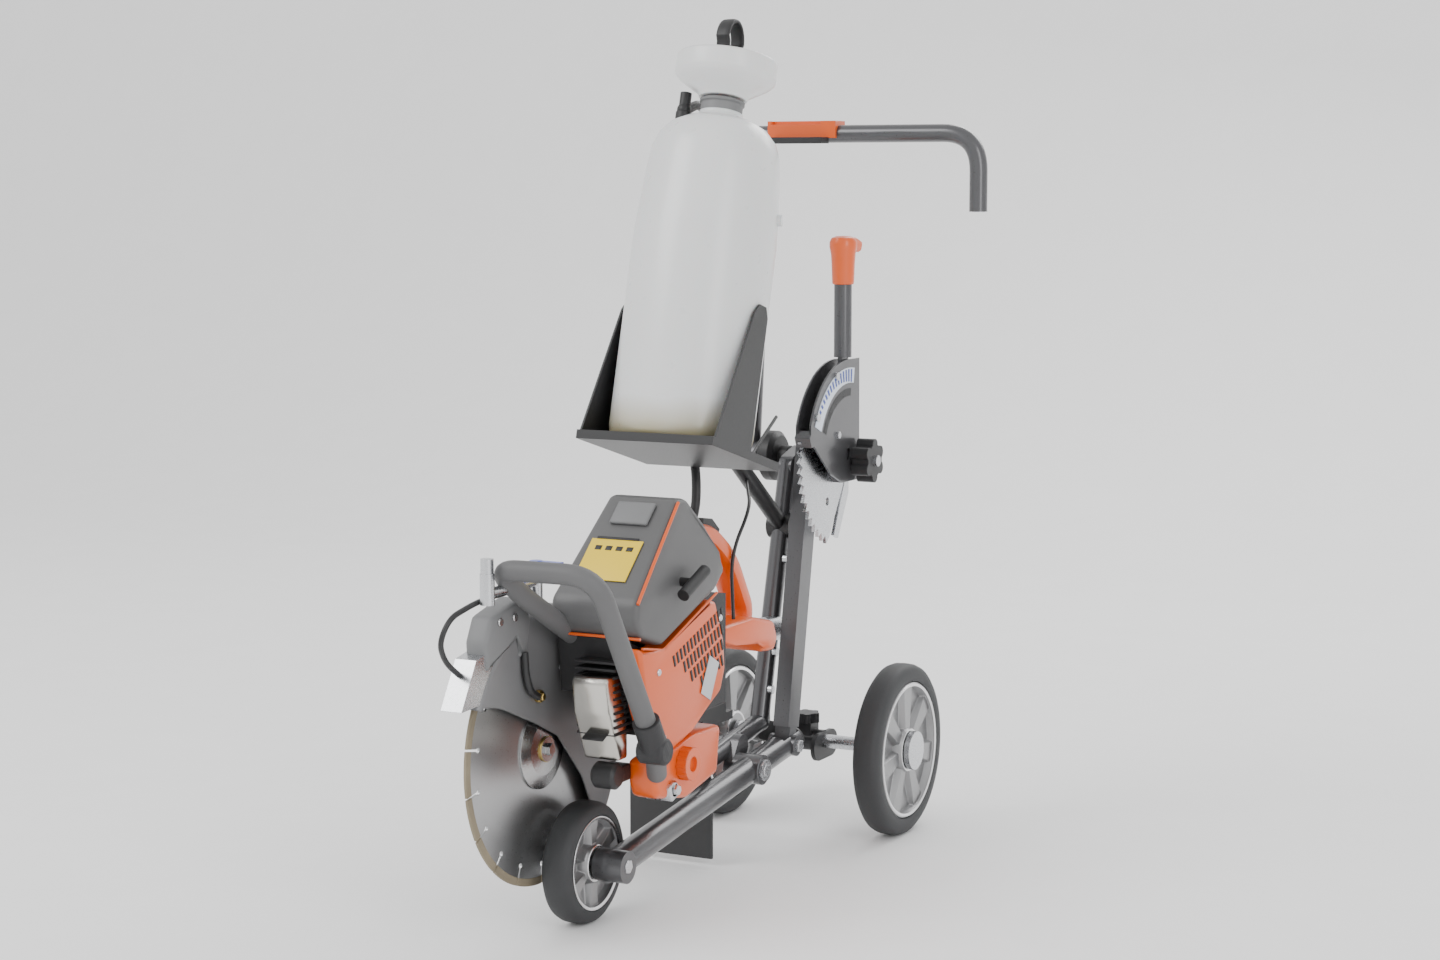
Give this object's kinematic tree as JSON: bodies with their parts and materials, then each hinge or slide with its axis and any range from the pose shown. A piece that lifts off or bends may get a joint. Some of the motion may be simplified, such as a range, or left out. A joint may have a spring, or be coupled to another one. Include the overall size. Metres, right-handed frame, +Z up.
{
  "type": "concrete cut-off saw",
  "caption": "Petrol cut-off saw clamped in a wheeled cutting cart with depth lever, handlebar and pressurised water tank.",
  "frame": {"origin": "on the floor below the middle of the bounding box", "axes": "+Z up, -Y the cutting direction, +X towards the saw's starter side"},
  "size_m": [0.5114, 1.0003, 1.1682],
  "materials": {
    "frame_paint": "gloss dark graphite",
    "black_paint": "satin black",
    "zinc": "zinc plated",
    "tyre": "matte dark grey",
    "rim": "cast, turned edges",
    "orange": "satin orange",
    "grey_cover": "satin dark grey",
    "black_plastic": "matte black",
    "rubber": "matte grey",
    "hose": "black",
    "white_plastic": "translucent white",
    "steel": "turned steel",
    "segment": "sintered, dull",
    "guard": "satin grey",
    "grip": "grey",
    "blue": "blue",
    "cast_black": "dark cast",
    "scale": "white with blue wedge"
  },
  "bodies": {
    "cart": {"upright_tube": "frame_paint", "pivot_shaft": "zinc", "axle_carrier": "black_paint", "left_axle": "zinc", "splash_flap": "rubber", "frame_bolts": "zinc", "saw_cradle": "black_paint", "rear_mount": "zinc", "lever_housing": "frame_paint", "toothed_sector": "zinc", "depth_scale": "scale", "tank_holder": "black_paint", "tank_bottle": "white_plastic", "pump_funnel": "white_plastic", "tank_fitting": "black_plastic", "tank_hose": "hose", "engine_block": "cast_black", "muffler": "steel", "top_cover": "grey_cover", "starter_cover": "orange", "fuel_tank": "orange", "front_handle": "rubber", "belt_guard": "cast_black", "drive_belt": "hose", "water_tap": "zinc", "water_hoses": "hose"},
    "front_arm": {"lower_tube": "frame_paint", "front_axle": "zinc"},
    "push_rod": {"upright_bar": "frame_paint"},
    "front_wheel": {"front_tyre": "tyre", "front_rim": "rim"},
    "left_wheel": {"left_tyre": "tyre", "left_rim": "rim"},
    "sliding_axle": {"right_axle": "zinc"},
    "right_wheel": {"right_tyre": "tyre", "right_rim": "rim"},
    "axle_clamp_knob": {"axle_knob": "black_plastic"},
    "depth_lever": {"lever_tube": "frame_paint", "lever_grip": "orange"},
    "left_clamp_knob": {"left_knob": "black_plastic"},
    "right_clamp_knob": {"right_knob": "black_plastic"},
    "handlebar": {"handlebar_tube": "frame_paint", "handlebar_column": "frame_paint", "handlebar_sleeve": "orange"},
    "hand_throttle": {"throttle_lever": "black_plastic"},
    "pump": {"pump_handle": "black_plastic"},
    "starter_pull": {"starter_handle": "black_plastic"},
    "filler_cap": {"fuel_cap": "orange"},
    "saw_trigger": {"throttle_trigger": "black_plastic"},
    "saw_trigger_lock": {"trigger_lock": "black_plastic"},
    "engine_shaft": {"clutch_pulley": "steel"},
    "blade": {"blade_shaft": "steel", "blade_disc": "steel", "blade_segments": "segment", "blade_flange": "steel"},
    "guard": {"guard_shell": "guard", "guard_lip": "zinc", "guard_handle": "grip"},
    "water_valve": {"tap_lever": "blue"}
  },
  "joints": [
    {"name": "front_arm_pivot", "type": "hinge", "parent": "cart", "child": "front_arm", "pos_m": [0.024, 0.157, 0.126], "axis": [1, 0, 0], "range_deg": [-14, 0]},
    {"name": "push_rod_pivot", "type": "hinge", "parent": "front_arm", "child": "push_rod", "pos_m": [0.024, 0.268, 0.139], "axis": [1, 0, 0], "range_deg": [0, 14]},
    {"name": "front_wheel_spin", "type": "hinge", "parent": "front_arm", "child": "front_wheel", "pos_m": [-0.021, -0.232, 0.079], "axis": [1, 0, 0], "continuous": true},
    {"name": "left_wheel_spin", "type": "hinge", "parent": "cart", "child": "left_wheel", "pos_m": [-0.127, 0.375, 0.125], "axis": [1, 0, 0], "continuous": true},
    {"name": "axle_slide", "type": "slide", "parent": "cart", "child": "sliding_axle", "axis": [1, 0, 0], "range_m": [-0.045, 0]},
    {"name": "right_wheel_spin", "type": "hinge", "parent": "sliding_axle", "child": "right_wheel", "pos_m": [0.155, 0.375, 0.125], "axis": [1, 0, 0], "continuous": true},
    {"name": "axle_clamp_turn", "type": "hinge", "parent": "cart", "child": "axle_clamp_knob", "pos_m": [0.008, 0.375, 0.15], "axis": [0, 0, 1], "continuous": true},
    {"name": "depth_lever_swing", "type": "hinge", "parent": "cart", "child": "depth_lever", "pos_m": [0.06, 0.38, 0.552], "axis": [1, 0, 0], "range_deg": [0, 42]},
    {"name": "left_knob_turn", "type": "hinge", "parent": "cart", "child": "left_clamp_knob", "pos_m": [-0.062, 0.407, 0.541], "axis": [1, 0, 0], "continuous": true},
    {"name": "right_knob_turn", "type": "hinge", "parent": "cart", "child": "right_clamp_knob", "pos_m": [0.09, 0.407, 0.541], "axis": [1, 0, 0], "continuous": true},
    {"name": "handlebar_tilt", "type": "hinge", "parent": "cart", "child": "handlebar", "pos_m": [-0.095, 0.407, 0.541], "axis": [1, 0, 0], "range_deg": [-35, 15]},
    {"name": "hand_throttle_squeeze", "type": "hinge", "parent": "handlebar", "child": "hand_throttle", "pos_m": [-0.03, 0.431, 1.006], "axis": [1, 0, 0], "range_deg": [-15, 0], "stiffness_Nm_per_rad": 0.6, "springref_deg": 5.73},
    {"name": "pump_stroke", "type": "slide", "parent": "cart", "child": "pump", "axis": [0, 0.2656, 0.9641], "range_m": [0, 0.12]},
    {"name": "starter_pull_out", "type": "slide", "parent": "cart", "child": "starter_pull", "axis": [1, 0, 0], "range_m": [0, 0.015], "stiffness_N_per_m": 120, "springref_m": -0.01},
    {"name": "filler_cap_turn", "type": "hinge", "parent": "cart", "child": "filler_cap", "pos_m": [0.095, -0.163, 0.205], "axis": [1, 0, 0], "continuous": true},
    {"name": "saw_trigger_squeeze", "type": "hinge", "parent": "cart", "child": "saw_trigger", "pos_m": [0.009, 0.067, 0.436], "axis": [1, 0, 0], "range_deg": [-12, 0], "stiffness_Nm_per_rad": 0.5, "springref_deg": 5.73},
    {"name": "saw_lock_press", "type": "hinge", "parent": "cart", "child": "saw_trigger_lock", "pos_m": [0.009, 0.073, 0.47], "axis": [1, 0, 0], "range_deg": [0, 4], "stiffness_Nm_per_rad": 0.5, "springref_deg": -5.73},
    {"name": "engine_shaft_spin", "type": "hinge", "parent": "cart", "child": "engine_shaft", "pos_m": [-0.05, -0.047, 0.305], "axis": [1, 0, 0], "continuous": true},
    {"name": "blade_spin", "type": "hinge", "parent": "cart", "child": "blade", "pos_m": [-0.061, -0.272, 0.231], "axis": [1, 0, 0], "continuous": true},
    {"name": "guard_tilt", "type": "hinge", "parent": "cart", "child": "guard", "pos_m": [-0.061, -0.272, 0.231], "axis": [1, 0, 0], "range_deg": [-15, 20], "deforming": ["water_hoses"]},
    {"name": "water_valve_turn", "type": "hinge", "parent": "cart", "child": "water_valve", "pos_m": [-0.026, -0.335, 0.475], "axis": [0, 0, 1], "range_deg": [0, 90]}
  ],
  "couplings": [
    {"joint": "front_arm_pivot", "follows": "depth_lever_swing", "ratio": -0.33333},
    {"joint": "push_rod_pivot", "follows": "depth_lever_swing", "ratio": 0.33333},
    {"joint": "engine_shaft_spin", "follows": "blade_spin", "ratio": 1.2143}
  ]
}
